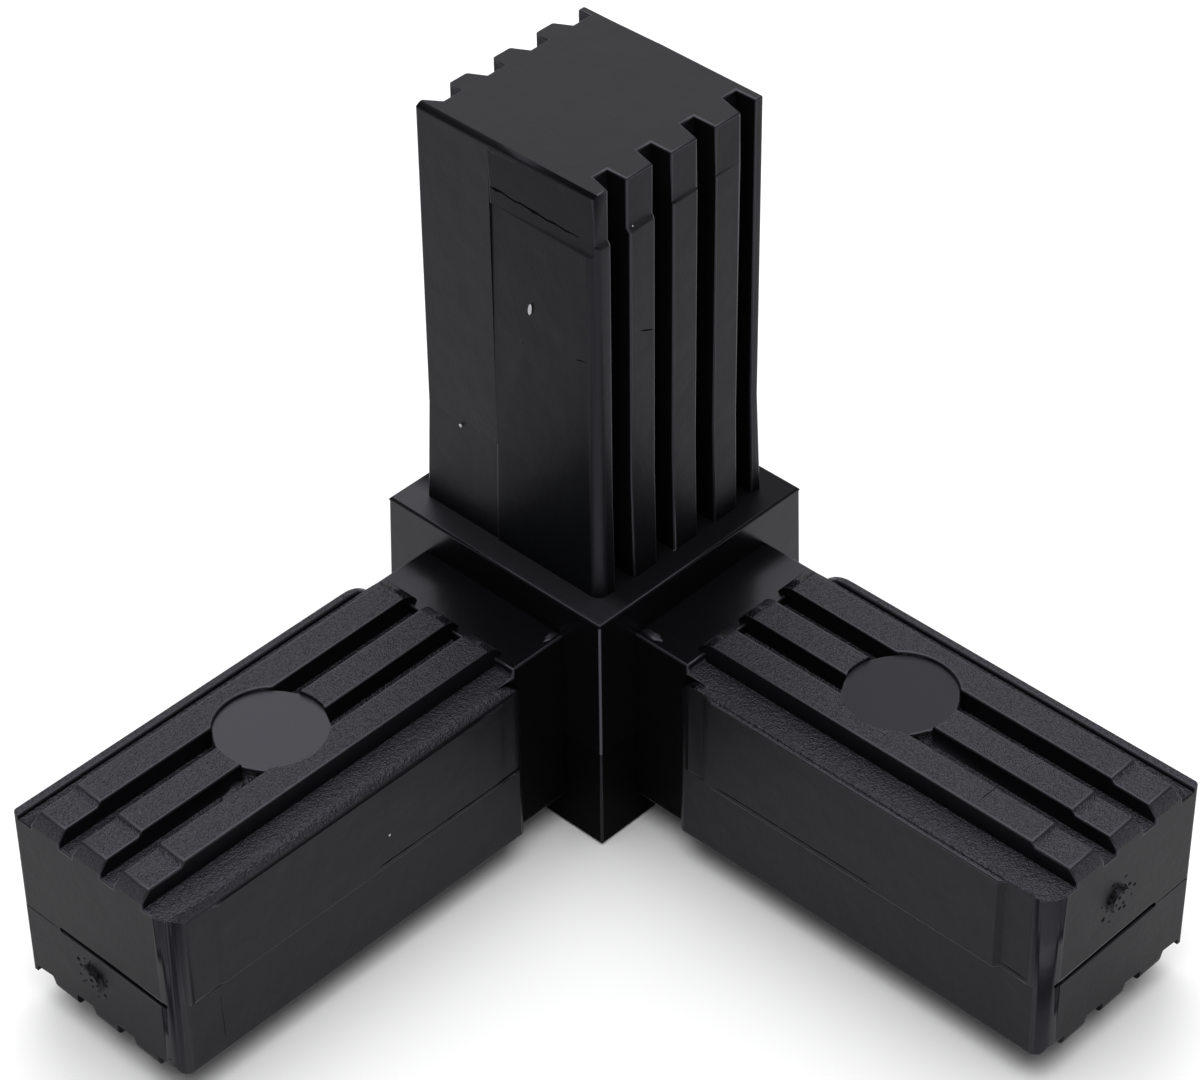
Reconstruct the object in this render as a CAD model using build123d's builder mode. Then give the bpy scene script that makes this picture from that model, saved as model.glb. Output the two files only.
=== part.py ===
from build123d import *
from math import atan, cos, radians, sin, tan
import os

# Three way corner connector for square tube, moulded in one piece

os.makedirs("parts", exist_ok=True)

# Hub: the cube left between the three tube ends
hub_size = 25.0              # outside size of the tube, measured at the hub's top
hub_draft = 1.0              # degrees, both ways from the parting plane
hub_edge_radius = 0.3
parting_height = 10.8        # where the two halves of the mould meet
hub_bulge = (hub_size - parting_height) * tan(radians(hub_draft))
shoulder = hub_size / 2      # from the centre line of one leg to the root of the next
axis_height = hub_size / 2

# Cross section shared by the legs: local x runs across, local y towards the front ribs
groove_first = -9.0          # straight wall of the first groove, also a rib's straight side
groove_pitch = 5.0
groove_count = 4
groove_floor_width = 1.5
rib_reach = 10.1             # from the centre line to the tops of the front ribs
rib_lean = 14.0              # degrees, only one wall of each rib leans
back_reach = 10.0            # the shallower ribs on the back
back_floor = 8.6             # from the centre line to their groove floors
back_floor_width = 1.9
back_lean = 35.0             # degrees
back_rib_radius = 0.4
seam_level = parting_height - axis_height
seam_step = 0.12             # mismatch of the two mould halves
edge_radius = 0.4
cut_margin = 1.0             # how far a cutter stands out of the surface

# Lead-in step near the tip of every leg, on the front ribs
lead_length = 4.7
lead_drop = 0.45
lead_slope = 0.4

# Level legs
level_near = 9.1             # from the centre line to the outward side
level_far = 9.8              # from the centre line to the inward side
level_floor = 8.1            # groove floors, and the open shelf along the outward side
level_far_rail = 8.5         # height of the thin fin along the inward side
level_back_rail = 9.3
neck_length = 5.0
neck_width = 16.4
neck_rise = 9.0              # above the centre line
neck_drop = 9.2              # below the centre line
body_length = 40.4
body_start = shoulder + neck_length
level_tip = body_start + body_length
tip_near_radius = 2.0        # rounded corners of the end, seen from above
tip_far_radius = 0.6
tip_bevel_length = 0.9       # bevelled ends of the front ribs
tip_bevel_drop = 1.0
tip_foot_radius = 1.0
rib_root_radius = 1.8
root_corner_radius = 2.0     # rounded root of the outward side, seen from above
rail_root_radius = 3.4       # rounded corner where the shelf and the fin start
overlap = 1.0                # how far joined blocks reach into each other

# Raised panel on the outward side of each level leg, from the seam up to the shelf
panel_ramp = 1.2             # length of its ramp nearest the hub
panel_start_x = 3.2          # from the body's root
panel_rise_x = 0.12
shelf_edge_x = 0.9
panel_start_y = 3.6
panel_rise_y = 0.4
shelf_edge_y = 0.15

# Ejector pin boss on each level leg, across the middle rib
boss_radius = 4.9
boss_across = -0.5           # its centre, off the leg's centre line
boss_recess = 0.35           # below the rib tops
boss_reach_x = 25.3          # from the hub to its centre, leg on +X
boss_reach_y = 21.7          # the same, leg on +Y

# Slit where the mould halves meet on each end, and the gate stub beside it
slit_length = 13.0
slit_width = 0.5
slit_depth = 0.4
slit_shift = 1.3
gate_radius = 1.3
gate_length = 0.45
gate_taper = 25.0            # degrees
gate_across_x = -1.5
gate_height_x = 7.7          # above the base
gate_across_y = 0.3
gate_height_y = 15.4

# Upright leg
upright_length = 40.4
upright_reach = 9.9          # from the centre line to the plain sides
upright_floor = 7.65
upright_rail = 10.0          # height of the rail on the +X edge
upright_far_rail = 9.8       # height of the fin on the -X edge
upright_back_rail = 9.9
upright_corner_radius = 1.0
upright_flare = 0.3          # growth of every face at the foot
flare_height = 10.2
fade_start = -7.0            # the ribs' lead-in fades out here, at the far rib
fade_drop = 0.5              # and is this deep at the +X edge
side_lead_length = 5.6       # lead-in on the plain +X side, from the seam forwards
side_lead_drop = 0.25
upright_edge_radius = 0.8    # along the top of the +X side
upright_top = hub_size + upright_length


def leg_section(plane, near, far, floor, near_rail, far_rail, back_rail, corner, grow=0.0):
    """Cross section of a leg. grow moves its outer faces outwards."""
    low = groove_first + groove_floor_width / 2
    high = low + (groove_count - 1) * groove_pitch
    walls = [groove_first + k * groove_pitch for k in range(groove_count)]
    halves = ((1, 0, near_rail, far_rail, rib_reach), (-1, seam_step, back_rail, back_rail, back_reach))
    with BuildSketch(plane) as outline:
        for side, step, near_level, far_level, reach in halves:
            with BuildLine():
                Polyline(
                    (near + grow - step, seam_level),
                    (near + grow - step, side * (near_level + grow)),
                    (high, side * (near_level + grow)),
                    (high, side * (reach + grow)),
                    (low, side * (reach + grow)),
                    (low, side * (far_level + grow)),
                    (-far - grow + step, side * (far_level + grow)),
                    (-far - grow + step, seam_level),
                    close=True,
                )
            make_face()
        columns = outline.vertices().group_by(Axis.X)
        fillet(columns[-1].sort_by(Axis.Y)[-1], corner)
        fillet(columns[-2].sort_by(Axis.Y)[0], edge_radius)

        # Grooves, each with one straight and one leaning wall
        depth = rib_reach + grow - floor + cut_margin
        with Locations(*[(wall, floor) for wall in walls]):
            Trapezoid(groove_floor_width + depth * tan(radians(rib_lean)), depth, 90, 90 + rib_lean,
                      align=(Align.MIN, Align.MIN), mode=Mode.SUBTRACT)
        depth = back_reach + grow - back_floor + cut_margin
        with Locations(*[(wall, -back_floor) for wall in walls]):
            Trapezoid(back_floor_width + depth * tan(radians(back_lean)), depth, 90 + back_lean, 90,
                      rotation=180, align=(Align.MAX, Align.MIN), mode=Mode.SUBTRACT)
        fillet(outline.vertices().group_by(Axis.Y)[0], back_rib_radius)
    return outline.sketch


def upright_section(height, grow=0.0):
    """Section of the upright leg at this height above the base."""
    return leg_section(Plane.XY.offset(height), upright_reach, upright_reach, upright_floor, upright_rail,
                       upright_far_rail, upright_back_rail, upright_corner_radius, grow)


def level_leg(boss_reach, panel_start, panel_rise, shelf_edge, gate_across, gate_height):
    """A level leg along +X, with the neck that joins it to the hub."""
    with BuildPart() as leg:
        # Ribbed body; an open shelf takes the place of the rail on its outward side
        across = Plane(origin=(body_start, 0, axis_height), x_dir=(0, 1, 0), z_dir=(1, 0, 0))
        extrude(leg_section(across, level_near, level_far, level_floor, level_floor, level_far_rail,
                            level_back_rail, shelf_edge), amount=body_length)

        # Rounded corners of the tip and the root, seen from above
        with BuildSketch() as plan:
            with Locations(((body_start + level_tip) / 2, (level_near - level_far) / 2)):
                Rectangle(body_length, level_near + level_far)
            fillet(plan.vertices().group_by(Axis.X)[-1].sort_by(Axis.Y)[-1], tip_near_radius)
            fillet(plan.vertices().group_by(Axis.X)[-1].sort_by(Axis.Y)[0], tip_far_radius)
            fillet(plan.vertices().group_by(Axis.X)[0].sort_by(Axis.Y)[-1], root_corner_radius)
        extrude(amount=hub_size, mode=Mode.INTERSECT)

        # Side profile: rounded root, lead-in step, bevelled rib ends and rounded foot of the end face
        lead_start = level_tip - lead_length
        tip_rise = rib_reach - lead_drop
        with BuildSketch(Plane.XZ.offset(-hub_size / 2)) as profile:
            with BuildLine():
                Polyline(
                    (body_start, axis_height - back_reach),
                    (body_start, axis_height + rib_reach),
                    (lead_start, axis_height + rib_reach),
                    (lead_start + lead_slope, axis_height + tip_rise),
                    (level_tip - tip_bevel_length, axis_height + tip_rise),
                    (level_tip, axis_height + tip_rise - tip_bevel_drop),
                    (level_tip, axis_height - back_reach),
                    close=True,
                )
            make_face()
            fillet(profile.vertices().group_by(Axis.X)[0], rib_root_radius)
            fillet(profile.vertices().sort_by(Axis.Y)[0:2].sort_by(Axis.X)[-1], tip_foot_radius)
        extrude(amount=hub_size, mode=Mode.INTERSECT)

        # Rounded corners where the shelf and the fin start
        zones = ((neck_width / 2, level_near + cut_margin, level_floor),
                 (-level_far - cut_margin, groove_first, level_far_rail))
        for start, stop, level in zones:
            with BuildSketch(Plane.XZ.offset(-start)):
                with Locations((body_start, axis_height + level - rail_root_radius)):
                    Rectangle(rail_root_radius, rail_root_radius + cut_margin, align=Align.MIN)
                    with Locations((rail_root_radius, 0)):
                        Circle(rail_root_radius, mode=Mode.SUBTRACT)
            extrude(amount=start - stop, mode=Mode.SUBTRACT)

        # Raised panel on the outward side, ramped at both ends
        panel_top = axis_height + level_floor - shelf_edge
        panel_height = panel_top - parting_height
        with BuildSketch(Plane.XY.offset(parting_height)):
            with BuildLine():
                Polyline(
                    (body_start + panel_start, level_near - overlap),
                    (body_start + panel_start, level_near),
                    (body_start + panel_start + panel_ramp, level_near + panel_rise),
                    (lead_start - lead_slope, level_near + panel_rise),
                    (lead_start, level_near),
                    (lead_start, level_near - overlap),
                    close=True,
                )
            make_face()
        extrude(amount=panel_height)

        # Ejector pin boss: a flat disc just below the rib tops, with the ribs cut back round it
        with BuildSketch(Plane.XY.offset(axis_height + rib_reach - boss_recess)) as boss:
            with Locations((shoulder + boss_reach, boss_across)):
                Circle(boss_radius)
        extrude(amount=boss_recess, mode=Mode.SUBTRACT)
        extrude(boss.sketch, amount=level_floor - rib_reach)

        # Slit at the seam and gate stub on the end face
        with BuildSketch(Plane.YZ.offset(level_tip)):
            with Locations((slit_shift, parting_height)):
                SlotOverall(slit_length, slit_width)
        extrude(amount=-slit_depth, mode=Mode.SUBTRACT)
        with BuildSketch(Plane.YZ.offset(level_tip)):
            with Locations((gate_across, gate_height)):
                Circle(gate_radius)
        extrude(amount=gate_length, taper=gate_taper)

        # Neck, reaching into the hub and into the body
        neck_end = body_start + overlap
        with BuildSketch(Plane.XY.offset(axis_height - neck_drop)):
            with Locations(((shoulder - overlap + neck_end) / 2, 0)):
                Rectangle(neck_end - shoulder + overlap, neck_width)
        extrude(amount=neck_drop + neck_rise)
    return leg.part


def lead_in_sketch(plane):
    """Outline of what a lead-in takes off; local x runs out of the surface, local y to the tip."""
    with BuildSketch(plane) as outline:
        with BuildLine():
            Polyline((0, 0), (cut_margin, -cut_margin), (cut_margin, hub_size), (0, hub_size), close=True)
        make_face()
    return outline.sketch


leg_x = level_leg(boss_reach_x, panel_start_x, panel_rise_x, shelf_edge_x, gate_across_x, gate_height_x)
leg_y = level_leg(boss_reach_y, panel_start_y, panel_rise_y, shelf_edge_y, gate_across_y, gate_height_y)

with BuildPart() as connector_body:
    # Hub, drafted up and down from the parting plane
    with BuildSketch(Plane.XY.offset(parting_height)) as hub_outline:
        Rectangle(hub_size + 2 * hub_bulge, hub_size + 2 * hub_bulge)
    extrude(amount=hub_size - parting_height, taper=hub_draft)
    extrude(hub_outline.sketch, amount=-parting_height, taper=hub_draft)
    fillet(connector_body.edges().group_by(Axis.Z)[0] + connector_body.edges().group_by(Axis.Z)[-1],
           hub_edge_radius)

    # Upright leg: flared foot and straight body
    flare_top = hub_size + flare_height
    foot = upright_section(hub_size - overlap, upright_flare)
    body = upright_section(flare_top)
    loft([foot.face(), body.face()], ruled=True)
    extrude(body, amount=upright_top - flare_top)

    # Its lead-in: deepest at the +X edge and fading out towards the far rib
    turn = atan(fade_drop / (upright_reach - fade_start))
    extrude(lead_in_sketch(Plane(origin=(fade_start, rib_reach, upright_top - lead_length),
                                 x_dir=(sin(turn), cos(turn), 0), z_dir=(cos(turn), -sin(turn), 0))),
            amount=hub_size, mode=Mode.SUBTRACT)

    # The same on the plain +X side, deepest at the front corner and fading out at the seam
    turn = atan(side_lead_drop / (upright_reach - seam_level))
    extrude(lead_in_sketch(Plane(origin=(upright_reach, seam_level, upright_top - side_lead_length),
                                 x_dir=(cos(turn), sin(turn), 0), z_dir=(sin(turn), -cos(turn), 0))),
            amount=-hub_size, mode=Mode.SUBTRACT)

    # Rounded edge along the top of the +X side
    with BuildSketch(Plane.XZ):
        with Locations((upright_reach - upright_edge_radius, upright_top - upright_edge_radius)):
            Rectangle(hub_size, hub_size, align=Align.MIN)
            Circle(upright_edge_radius, mode=Mode.SUBTRACT)
    extrude(amount=hub_size, both=True, mode=Mode.SUBTRACT)

    # Level legs: the second one is the mirror image of the first across the hub's diagonal
    add(leg_x)
    add(mirror(leg_y, about=Plane(origin=(0, 0, 0), z_dir=(1, -1, 0)), mode=Mode.PRIVATE))

connector_body.part.label = "connector_body"
export_step(connector_body.part, "parts/connector_body.step")

solid = connector_body.part
print(len(solid.solids()), solid.is_valid, solid.volume, solid.bounding_box(), solid.center(CenterOf.MASS))
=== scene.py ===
import bpy, bmesh, random
from math import cos, hypot, pi, radians, sin
from mathutils import Matrix, Vector, noise


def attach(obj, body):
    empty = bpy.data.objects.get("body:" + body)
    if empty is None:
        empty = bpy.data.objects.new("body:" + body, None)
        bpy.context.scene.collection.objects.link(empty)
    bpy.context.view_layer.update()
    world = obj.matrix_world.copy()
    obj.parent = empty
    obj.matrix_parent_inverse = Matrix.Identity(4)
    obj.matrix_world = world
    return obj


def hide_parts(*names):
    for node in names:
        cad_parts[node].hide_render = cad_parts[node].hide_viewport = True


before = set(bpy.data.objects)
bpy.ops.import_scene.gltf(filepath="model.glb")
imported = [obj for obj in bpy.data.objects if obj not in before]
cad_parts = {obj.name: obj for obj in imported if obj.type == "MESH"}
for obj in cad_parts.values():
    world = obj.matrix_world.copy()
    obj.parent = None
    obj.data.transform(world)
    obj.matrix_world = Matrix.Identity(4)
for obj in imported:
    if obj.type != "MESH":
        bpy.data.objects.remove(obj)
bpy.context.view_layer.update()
mm = 0.001
print("frame loaded")


def hexToLinear(code):
    # sRGB hex to the linear colour that shaders use
    values = [int(code[i:i + 2], 16) / 255 for i in (1, 3, 5)]
    return [v / 12.92 if v <= 0.04045 else ((v + 0.055) / 1.055) ** 2.4 for v in values] + [1.0]


def addNode(tree, kind, settings=None, **links):
    # adds a node: settings are its own properties, links fill its inputs with a value or another socket
    node = tree.nodes.new(kind)
    for name, value in (settings or {}).items():
        setattr(node, name, value)
    for name, value in links.items():
        socket = node.inputs[name.replace("_", " ")]
        if isinstance(value, bpy.types.NodeSocket):
            tree.links.new(value, socket)
        else:
            socket.default_value = value
    return node


def addObject(name, mesh):
    item = bpy.data.objects.new(name, mesh)
    bpy.context.scene.collection.objects.link(item)
    return item


camera = {
    "turn": 135.53,        # degrees round the part, 0 looks along +Y
    "rise": 39.90,         # degrees above the level
    "roll": -1.69,
    "distance": 367.7,     # mm from the hub's centre
    "slideRight": -7.51,   # mm across the view
    "slideUp": 5.02,
    "aimHeight": 12.5,     # mm above the base
    "lens": 125.36,        # mm
    "sensor": 36,          # mm across
    "shiftX": 0.0748,
    "shiftY": 0.0042,
    "nearest": 0.01,       # metres, what is nearer or farther isn't seen
    "farthest": 20,
}


def makeCamera(c):
    turn, rise, roll = radians(c["turn"]), radians(c["rise"]), radians(c["roll"])
    back = Vector((sin(turn) * cos(rise), -cos(turn) * cos(rise), sin(rise)))
    across = (-back).cross(Vector((0, 0, 1))).normalized()
    upward = across.cross(-back)
    right = cos(roll) * across + sin(roll) * upward
    up = -sin(roll) * across + cos(roll) * upward
    place = Vector((0, 0, c["aimHeight"])) + back * c["distance"]
    place += right * c["slideRight"] + up * c["slideUp"]
    data = bpy.data.cameras.new("camera")
    data.lens = c["lens"]
    data.sensor_width = c["sensor"]
    data.shift_x = c["shiftX"]
    data.shift_y = c["shiftY"]
    data.clip_start = c["nearest"]
    data.clip_end = c["farthest"]
    item = addObject("camera", data)
    item.matrix_world = Matrix.Translation(place * mm) @ Matrix((right, up, back)).transposed().to_4x4()
    bpy.context.scene.camera = item


makeCamera(camera)
print("camera set")

studio = {
    "worldStrength": 0.2,
    "worldColour": "#f6f6f8",
    "boxColour": "#ffffff",
    "boxes": {               # name: place in metres, size in metres, brightness
        "backBox": ((-0.62, -0.62, 0.78), 0.85, 2.0),
        "topBox": ((0.05, 0.05, 1.5), 1.7, 3.1),
        "frontBox": ((0.5, 0.5, 0.9), 0.35, 1.6),
    },
    "aim": (0.015, 0.015, 0.02),
    "floorColour": "#fafafa",
    "floorRoughness": 0.9,
    "floorSpecular": 0.1,
    "floorReach": 3.0,       # metres
    "floorDrop": 0.00005,    # metres below the base, so that the two faces don't fight
}


def makeWorld(s):
    world = bpy.data.worlds.new("studio")
    bpy.context.scene.world = world
    world.use_nodes = True
    shade = world.node_tree.nodes["Background"]
    shade.inputs["Color"].default_value = hexToLinear(s["worldColour"])
    shade.inputs["Strength"].default_value = s["worldStrength"]


def makeSoftBox(name, place, size, brightness, s):
    # the power that gives a square light this brightness, as its own face shows it
    data = bpy.data.lights.new(name, "AREA")
    data.energy = brightness * pi * size * size
    data.size = size
    data.color = hexToLinear(s["boxColour"])[:3]
    item = addObject(name, data)
    item.location = place
    item.rotation_euler = (Vector(s["aim"]) - Vector(place)).to_track_quat("-Z", "Y").to_euler()


def makeFloor(s):
    reach = s["floorReach"]
    corners = [(-reach, -reach, 0), (reach, -reach, 0), (reach, reach, 0), (-reach, reach, 0)]
    mesh = bpy.data.meshes.new("floor")
    mesh.from_pydata(corners, [], [(0, 1, 2, 3)])
    floor = addObject("floor", mesh)
    floor.location.z = -s["floorDrop"]
    paint = bpy.data.materials.new("pale floor")
    paint.use_nodes = True
    surface = paint.node_tree.nodes["Principled BSDF"]
    surface.inputs["Base Color"].default_value = hexToLinear(s["floorColour"])
    surface.inputs["Roughness"].default_value = s["floorRoughness"]
    surface.inputs["Specular IOR Level"].default_value = s["floorSpecular"]
    mesh.materials.append(paint)


bpy.context.scene.view_settings.view_transform = "Standard"
makeWorld(studio)
for name, (place, size, brightness) in studio["boxes"].items():
    makeSoftBox(name, place, size, brightness, studio)
makeFloor(studio)
print("studio lit")

# One black glass-filled nylon. Each face of the mould gave it another surface; some finishes also paint
# shade or highlight.
nylon = {
    "ior": 1.53,
    "paintedLightTint": "#ededff",        # painted light: a little blue tint in its reflections, standing for the light's blue cast
    "grainDetail": 2.0,
    "grainRoughness": 0.5,
}
# patterns: size and depth in mm of each layer of unevenness
nylonFinishes = {
    # plain sides of the level legs: satin and gently wavy
    "drawn": {"colour": "#0a0a0c", "roughness": 0.43, "specular": 0.17,
              "patterns": [(4.0, 0.1), (0.5, 0.012)]},
    # rib tops and shelf: spark-eroded grain, drawn coarser than the real 0.1 mm, which would not show
    "eroded": {"colour": "#18181c", "roughness": 0.48, "specular": 0.44,
               "patterns": [(0.34, 0.17), (0.17, 0.08), (1.8, 0.05)]},
    # ends of the level legs: as their sides, a little duller
    "endFace": {"colour": "#0a0a0c", "roughness": 0.46, "specular": 0.13,
                "patterns": [(4.0, 0.05), (0.5, 0.014)]},
    # rounded upright corners: glossier than the flat faces beside them
    "rounded": {"colour": "#0a0a0c", "roughness": 0.45, "specular": 0.27,
                "patterns": [(2.5, 0.05), (0.4, 0.01)]},
    # hub sides and neck tops: smooth, dark and nearly mirror-like
    "polished": {"colour": "#0a0a0c", "roughness": 0.24, "specular": 0.2,
                 "patterns": [(5.0, 0.06), (0.5, 0.004)]},
    # front of the lower hub and the necks' near sides: painted shade, their reflection nearly turned off so
    # they stay black
    "paintedShade": {"colour": "#090909", "roughness": 0.5, "specular": 0.012,
               "patterns": [(0.8, 0.01)]},
    # near half of the upright's plain side: painted shade, its reflection turned down so it is darker than
    # its far half
    "panelShade": {"colour": "#090a0c", "roughness": 0.38, "specular": 0.09,
              "patterns": [(7.0, 0.14), (1.1, 0.014), (0.35, 0.008)]},
    # rest of the upright: satin, with long soft waves
    "satin": {"colour": "#0b0b0d", "roughness": 0.4, "specular": 0.14,
              "patterns": [(7.0, 0.16), (1.1, 0.014), (0.35, 0.008)]},
    # shoulder on top of the hub: dull grey, with painted shade on its +Y side, where its reflection is
    # turned down
    "hubTop": {"colour": "#0f0f11", "roughness": 0.5, "specular": 0.4,
               "patterns": [(0.8, 0.012)], "paintedShadeSide": (8.5, 10.0, 0.06)},
    # upper edges of the hub: pale, worn and with a painted highlight
    "hubEdgeWearAndHighlight": {"colour": "#3c3c42", "roughness": 0.4, "specular": 0.5,
                "patterns": [(0.5, 0.03)]},
    # ejector pin face of the +X leg: flat and the brightest
    "disc": {"colour": "#16161a", "roughness": 0.4, "specular": 0.36,
             "patterns": [(1.6, 0.012)]},
    # ejector pin face of the +Y leg: duller
    "dullDisc": {"colour": "#121215", "roughness": 0.5, "specular": 0.24,
                 "patterns": [(0.9, 0.02)]},
    # other edges: a little lighter, rubbed and with a painted highlight
    "rubbedAndHighlit": {"colour": "#19191c", "roughness": 0.4, "specular": 0.42,
               "patterns": [(0.6, 0.02)]},
    # lumps of spare nylon in a groove: torn and uneven
    "torn": {"colour": "#0c0c0e", "roughness": 0.55, "specular": 0.4,
             "patterns": [(0.4, 0.15)]},
    # nicks: bruised nylon turns white
    "whitened": {"colour": "#c9c9cd", "roughness": 0.6, "specular": 0.3,
                 "patterns": [(0.3, 0.03)]},
}


def nylonFinish(name, finish):
    material = bpy.data.materials.new("moulded nylon " + name)
    material.use_nodes = True
    tree = material.node_tree
    tree.nodes.clear()
    coords = addNode(tree, "ShaderNodeTexCoord").outputs["Object"]
    normal = None
    for size, depth in finish["patterns"]:
        wave = addNode(tree, "ShaderNodeTexNoise", {"noise_dimensions": "3D"}, Vector=coords,
                       Scale=1 / (size * mm), Detail=nylon["grainDetail"], Roughness=nylon["grainRoughness"])
        bump = addNode(tree, "ShaderNodeBump", Height=wave.outputs[0], Strength=1.0, Distance=depth * mm)
        if normal:
            tree.links.new(normal, bump.inputs["Normal"])
        normal = bump.outputs[0]
    surface = addNode(tree, "ShaderNodeBsdfPrincipled", Normal=normal)
    surface.inputs["Base Color"].default_value = hexToLinear(finish["colour"])
    surface.inputs["Roughness"].default_value = finish["roughness"]
    surface.inputs["Specular IOR Level"].default_value = finish["specular"]
    surface.inputs["IOR"].default_value = nylon["ior"]
    surface.inputs["Specular Tint"].default_value = hexToLinear(nylon["paintedLightTint"])
    if "paintedShadeSide" in finish:
        # painted shade: between two places in mm along X its reflection falls to another level
        start, end, paintedShadeLevel = finish["paintedShadeSide"]
        place = addNode(tree, "ShaderNodeSeparateXYZ", Vector=coords)
        fade = addNode(tree, "ShaderNodeMapRange", Value=place.outputs[0], From_Min=start * mm,
                       From_Max=end * mm, To_Min=paintedShadeLevel, To_Max=finish["specular"])
        tree.links.new(fade.outputs[0], surface.inputs["Specular IOR Level"])
    out = addNode(tree, "ShaderNodeOutputMaterial")
    tree.links.new(surface.outputs[0], out.inputs[0])
    return material


finishNames = list(nylonFinishes)
finishes = {name: nylonFinish(name, values) for name, values in nylonFinishes.items()}
print("materials made")

skin = {
    "mergeDistance": 0.002,   # mm, joins the CAD's loose triangles
    "flatAngle": 0.5,         # degrees, facets flatter than this become one face
    "edgeAngle": 48,          # degrees, sharper outer edges are rounded
    "shortEdge": 0.4,         # mm
    "narrowFace": 0.22,       # mm, beside such a face an edge stays as it is
    "edgeRadius": 0.18,       # mm
    "edgeSteps": 2,
    "smoothAngle": 40,        # degrees
    "flatWidth": 1.8,         # mm, a wider face is shaded flat
    "normalWeight": 50,
    # levels, sides and ends in mm that tell the faces apart
    "hubTop": 25.0,
    "hubReach": 12.8,
    "parting": 11.0,
    "legRoot": 17.45,
    "neckSide": 8.2,
    "neckEnd": 19.5,
    "shelfLevel": 20.0,
    "tipCorner": 56.0,
    "legEnd": 57.0,
    "panelSide": 9.7,
    "panelFrom": 0.0,
    "discLevel": 22.25,
    "discRadius": 4.95,
    "discs": [(37.8, -0.5), (-0.5, 34.2)],
    # mm, how near a face has to lie
    "topSlack": 0.02,
    "edgeSlack": 0.1,
    "neckSlack": 0.4,
    "discSlack": 0.1,
    # how squarely a face looks one way, 1 for quite
    "square": 0.99,
    "nearlySquare": 0.95,
    "mostly": 0.9,
    "upright": 0.4,           # at most this much up or down
    "corner": 0.06,           # at least this much along both X and Y
    "leaning": -0.3,          # no more than this much down
}


def finishOf(centre, facing, s):
    # which finish a face has, a finish of the mould or painted shade, from its place in mm and the way it
    # faces
    reach, ahead = max(centre.x, centre.y), max(facing.x, facing.y)
    rounded = min(facing.x, facing.y) > s["corner"] and abs(facing.z) < s["upright"]
    if centre.z > s["hubTop"] + s["topSlack"]:
        if rounded:
            return "rounded"
        # painted shade on the near half of the upright's +X side
        inPanel = facing.x > s["square"] and centre.x > s["panelSide"] and centre.y > s["panelFrom"]
        return "panelShade" if inPanel else "satin"
    # painted shade on the necks' near sides where they face +X or +Y
    besideNeck = abs(min(centre.x, centre.y) - s["neckSide"]) < s["neckSlack"]
    if ahead > s["mostly"] and reach < s["neckEnd"] and besideNeck:
        return "paintedShade"
    if reach < s["legRoot"]:
        if centre.z > s["hubTop"] - s["topSlack"] and facing.z > s["mostly"]:
            return "hubTop"
        # painted shade on the lower hub's faces that look +X or +Y; the rest polished
        return "paintedShade" if centre.z < s["parting"] and ahead > s["mostly"] else "polished"
    if rounded and reach > s["tipCorner"]:
        return "rounded"
    if ahead > s["nearlySquare"] and reach > s["legEnd"]:
        return "endFace"
    if facing.z > s["nearlySquare"] and abs(centre.z - s["discLevel"]) < s["discSlack"]:
        for x, y in s["discs"]:
            if hypot(centre.x - x, centre.y - y) < s["discRadius"]:
                return "disc" if x > y else "dullDisc"
    if centre.z > s["shelfLevel"] and facing.z > s["leaning"] and ahead < s["nearlySquare"]:
        return "eroded"
    return "drawn"


def isOuterEdge(edge, s):
    if not (edge.is_manifold and edge.is_convex) or edge.calc_face_angle(0) <= radians(s["edgeAngle"]):
        return False
    length = edge.calc_length()
    if length <= s["shortEdge"] * mm:
        return False
    return min(face.calc_area() for face in edge.link_faces) / length > s["narrowFace"] * mm


def makeSkin(node, s):
    bm = bmesh.new()
    bm.from_mesh(node.data)
    bmesh.ops.remove_doubles(bm, verts=bm.verts, dist=s["mergeDistance"] * mm)
    bmesh.ops.dissolve_limit(bm, angle_limit=radians(s["flatAngle"]), verts=bm.verts, edges=bm.edges)
    # every rounded edge gets the lighter finish: rubbed, with a painted highlight
    rubbedAndHighlit = finishNames.index("rubbedAndHighlit")
    bmesh.ops.bevel(bm, geom=[edge for edge in bm.edges if isOuterEdge(edge, s)],
                    offset=s["edgeRadius"] * mm, offset_type="OFFSET", segments=s["edgeSteps"],
                    profile=0.5, affect="EDGES", clamp_overlap=False, material=rubbedAndHighlit)
    for face in bm.faces:
        face.smooth = True
        centre = face.calc_center_median() / mm
        if face.material_index != rubbedAndHighlit:
            face.material_index = finishNames.index(finishOf(centre, face.normal, s))
        # hub edges: painted highlight above the parting, the polished finish below it
        elif max(centre.x, centre.y) < s["hubReach"] and centre.z < s["hubTop"] + s["edgeSlack"]:
            face.material_index = finishNames.index("hubEdgeWearAndHighlight" if centre.z > s["parting"] else "polished")
    mesh = bpy.data.meshes.new("connectorSkin")
    bm.to_mesh(mesh)
    bm.free()
    for name in finishNames:
        mesh.materials.append(finishes[name])
    return addObject("connectorSkin", mesh)


connectorSkin = makeSkin(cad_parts["connector_body"], skin)
print("skin made")

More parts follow.
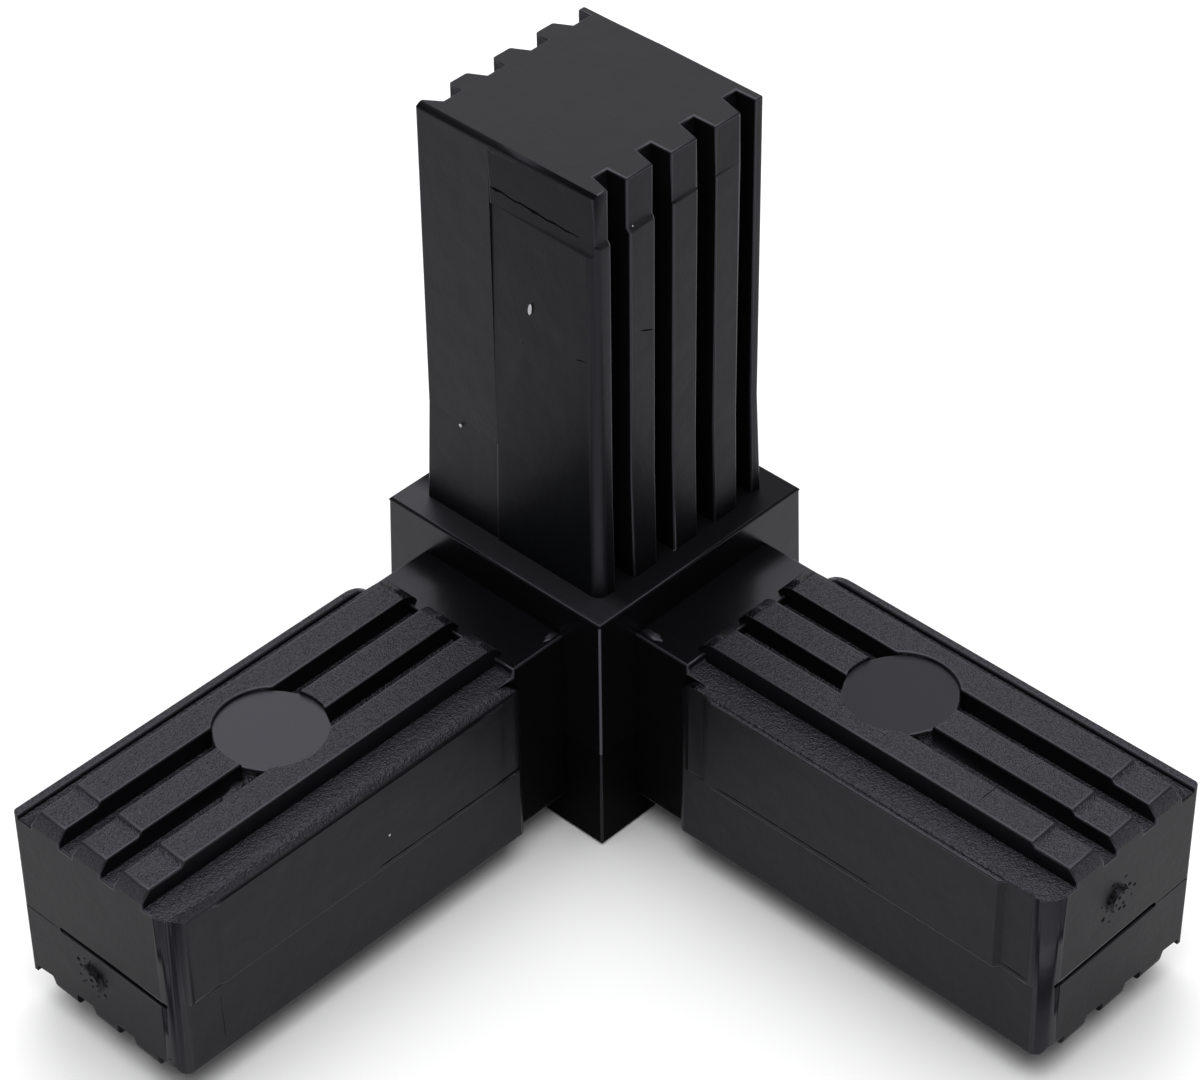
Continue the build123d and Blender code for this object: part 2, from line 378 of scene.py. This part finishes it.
scribed = {
    "seed": 5,
    "stepLength": 0.7,        # mm between changes of width and depth
    "standOut": 0.25,         # mm that the cutter reaches out of the surface
    "endFade": 0.35,          # how wide and deep a line's ends are, beside its middle
    "unevenSize": 0.5,
    "unevenPath": 0.3,
    # name: points in mm, the way the surface faces, width, depth, how uneven
    "lines": {
        "seamLegX": ([(18.2, 9.1, 11.3), (35.5, 9.22, 11.45)], (0, 1, 0), 0.16, 0.2, 0.5),
        "seamLegY": ([(9.5, 23.0, 11.4), (9.5, 40.0, 11.45)], (1, 0, 0), 0.15, 0.2, 0.6),
        "seamTipY": ([(9.1, 53.2, 11.5), (9.1, 55.9, 11.4)], (1, 0, 0), 0.15, 0.2, 0.4),
        "endLineX": ([(57.9, -9.7, 10.78), (57.9, -5.4, 10.8)], (1, 0, 0), 0.14, 0.2, 0.3),
        "endLineY": ([(-9.7, 57.9, 10.8), (-5.4, 57.9, 10.8)], (0, 1, 0), 0.16, 0.2, 0.3),
        "drawLineX": ([(53.3, 9.1, 10.3), (53.1, 8.98, 4.6)], (0, 1, 0), 0.12, 0.12, 0.5),
        "leadNick": ([(9.87, -1.6, 61.4), (9.67, 8.0, 60.9)], (1, 0, 0), 0.3, 0.26, 0.9),
        "cornerDash": ([(9.9, 7.7, 48.9), (9.9, 8.9, 49.2)], (1, 0, 0), 0.22, 0.15, 0.5),
        "ribDash": ([(4.9, 10.1, 50.2), (3.4, 10.1, 49.5)], (0, 1, 0), 0.25, 0.2, 0.7),
        "scratchA": ([(9.9, -1.0, 48.3), (9.9, 0.4, 48.2)], (1, 0, 0), 0.14, 0.08, 0.8),
        "scratchB": ([(9.9, 1.0, 47.9), (9.9, 2.3, 47.0)], (1, 0, 0), 0.14, 0.08, 0.8),
        "crossLine": ([(1.1, 47.2, 22.6), (5.2, 47.2, 22.6)], (0, 0, 1), 0.12, 0.1, 0.3),
    },
    "stubRadius": 1.3,        # mm, of the gate stub that the pits lie on and round
    "stubHeight": 0.45,
    "stubTop": 0.85,          # share of the stub's radius that its flat top takes
    "pitTries": 70,
    "pitRadius": (0.13, 0.3),
    "pitGap": 0.03,
    "pitOut": 0.2,            # share of its radius that a pit's middle lies above the surface
    # name: middle of the stub's foot in mm, its way out, two ways across it, reach of the pits in mm
    "gates": {
        "gateX": ((57.9, -1.5, 7.7), (1, 0, 0), (0, 1, 0), (0, 0, 1), 2.0),
        "gateY": ((0.3, 57.9, 15.4), (0, 1, 0), (1, 0, 0), (0, 0, 1), 2.2),
    },
}


def addLine(bm, chance, s, points, facing, width, depth, uneven):
    # a thin tapering prism whose width, depth and path wander a little
    start, end = Vector(points[0]), Vector(points[1])
    out = Vector(facing)
    steps = max(2, round((end - start).length / s["stepLength"]))
    side = (end - start).cross(out).normalized()
    rings = []
    for k in range(steps + 1):
        fade = s["endFade"] if k in (0, steps) else 1.0
        w = width * fade * (1 + uneven * chance.uniform(-s["unevenSize"], s["unevenSize"]))
        d = depth * fade * (1 + uneven * chance.uniform(-s["unevenSize"], s["unevenSize"]))
        wander = chance.uniform(-s["unevenPath"], s["unevenPath"])
        p = start.lerp(end, k / steps) + side * width * uneven * wander
        top, foot = p + out * s["standOut"], p - out * d
        corners = (top + side * w / 2, top - side * w / 2, foot - side * w / 4, foot + side * w / 4)
        rings.append([bm.verts.new(c * mm) for c in corners])
    for a, b in zip(rings, rings[1:]):
        for i in range(4):
            bm.faces.new((a[i], a[(i + 1) % 4], b[(i + 1) % 4], b[i]))
    bm.faces.new(rings[0][::-1])
    bm.faces.new(rings[-1])


def addPits(bm, chance, s, foot, out, across, up, reach):
    # torn pits on and round a gate stub, none touching another
    made = []
    for _ in range(s["pitTries"]):
        x, y = chance.uniform(-reach, reach), chance.uniform(-reach, reach)
        radius = chance.uniform(*s["pitRadius"])
        away = hypot(x, y)
        if away > reach or any(hypot(x - a, y - b) < radius + c + s["pitGap"] for a, b, c in made):
            continue
        made.append((x, y, radius))
        level = s["stubHeight"] if away < s["stubRadius"] * s["stubTop"] else 0
        place = Vector(foot) + Vector(across) * x + Vector(up) * y
        place += Vector(out) * (level + radius * s["pitOut"])
        bmesh.ops.create_icosphere(bm, subdivisions=1, radius=radius * mm,
                                   matrix=Matrix.Translation(place * mm))


def makeCutter(s):
    chance = random.Random(s["seed"])
    bm = bmesh.new()
    for line in s["lines"].values():
        addLine(bm, chance, s, *line)
    for gate in s["gates"].values():
        addPits(bm, chance, s, *gate)
    bmesh.ops.recalc_face_normals(bm, faces=bm.faces)
    mesh = bpy.data.meshes.new("scribing")
    bm.to_mesh(mesh)
    bm.free()
    return addObject("scribing", mesh)


def applyModifiers(piece):
    plain = bpy.data.meshes.new_from_object(piece.evaluated_get(bpy.context.evaluated_depsgraph_get()))
    piece.modifiers.clear()
    piece.data = plain


def scribe(piece, s):
    cutter = makeCutter(s)
    cut = piece.modifiers.new("scribe", "BOOLEAN")
    cut.operation = "DIFFERENCE"
    cut.solver = "EXACT"
    cut.object = cutter
    applyModifiers(piece)
    bpy.data.objects.remove(cutter)


def smoothShade(piece, s):
    # rounded faces look round, and a wide face has its own normal throughout
    for polygon in piece.data.polygons:
        polygon.use_smooth = True
    piece.data.set_sharp_from_angle(angle=radians(s["smoothAngle"]))
    weigh = piece.modifiers.new("weighted normals", "WEIGHTED_NORMAL")
    weigh.weight = s["normalWeight"]
    weigh.keep_sharp = True
    applyModifiers(piece)
    mesh = piece.data
    normals = [Vector(corner.vector) for corner in mesh.corner_normals]
    for polygon in mesh.polygons:
        points = [mesh.vertices[i].co for i in polygon.vertices]
        longest = max((a - b).length for a, b in zip(points, points[1:] + points[:1]))
        if polygon.area > s["flatWidth"] * mm * longest:
            for i in polygon.loop_indices:
                normals[i] = polygon.normal.copy()
    mesh.normals_split_custom_set(normals)


scribe(connectorSkin, scribed)
smoothShade(connectorSkin, skin)
connectorSkin.data.name = "connectorSkin"
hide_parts("connector_body")
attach(connectorSkin, "root")
print("seams, scratches and pits cut")

flashAndNicks = {
    "seed": 11,
    "rounds": 3,              # how finely each lump is divided
    "bumpScale": 2.2,
    # name: place in mm, the way the surface faces, the long way, half sizes in mm, finish, how lumpy
    "lumps": {
        "grooveLump": ((44.0, 1.75, 20.5), (0, 0, 1), (1, 0.1, 0), (1.9, 0.75, 1.0), "torn", 0.35),
        "grooveLumpNear": ((42.9, 2.2, 20.6), (0, 0, 1), (1, 0.3, 0), (0.9, 0.5, 1.3), "torn", 0.35),
        "whiteNick": ((9.93, 2.65, 51.36), (1, 0, 0), (0, 0.15, 1), (0.55, 0.2, 0.06), "whitened", 0.25),
        "whiteDot": ((9.98, -5.9, 34.9), (1, 0, 0), (0, 0, 1), (0.16, 0.16, 0.06), "whitened", 0.2),
        "stepDot": ((5.4, 9.75, 60.5), (0, 1, 0), (0, 0, 1), (0.2, 0.12, 0.1), "whitened", 0.2),
        "sideDot": ((34.2, 9.2, 14.2), (0, 1, 0), (0, 0, 1), (0.12, 0.12, 0.05), "whitened", 0.2),
        "flashY": ((7.5, 13.7, 21.4), (0.5, 0, 0.85), (0, 1, 0), (1.1, 0.55, 0.22), "rubbedAndHighlit", 0.5),
        "flashX": ((13.4, 7.7, 21.4), (0, 0.5, 0.85), (1, 0, 0), (0.9, 0.4, 0.16), "rubbedAndHighlit", 0.5),
    },
}


def makeLump(name, seed, f, place, facing, along, sizes, finish, lumpy):
    # a flattened, noisy ball sunk into the surface
    out = Vector(facing).normalized()
    ahead = (Vector(along) - out * Vector(along).dot(out)).normalized()
    beside = out.cross(ahead)
    bm = bmesh.new()
    bmesh.ops.create_icosphere(bm, subdivisions=f["rounds"], radius=1.0)
    for vert in bm.verts:
        swell = 1 + lumpy * noise.noise(vert.co * f["bumpScale"] + Vector((seed, seed, 0)))
        x, y, z = vert.co * swell
        vert.co = (Vector(place) + ahead * x * sizes[0] + beside * y * sizes[1] + out * z * sizes[2]) * mm
    for face in bm.faces:
        face.smooth = True
    bmesh.ops.recalc_face_normals(bm, faces=bm.faces)
    mesh = bpy.data.meshes.new(name)
    bm.to_mesh(mesh)
    bm.free()
    mesh.materials.append(finishes[finish])
    piece = addObject(name, mesh)
    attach(piece, "root")


for step, (name, values) in enumerate(flashAndNicks["lumps"].items()):
    makeLump(name, flashAndNicks["seed"] + step, flashAndNicks, *values)
print("flash, lumps and nicks made")
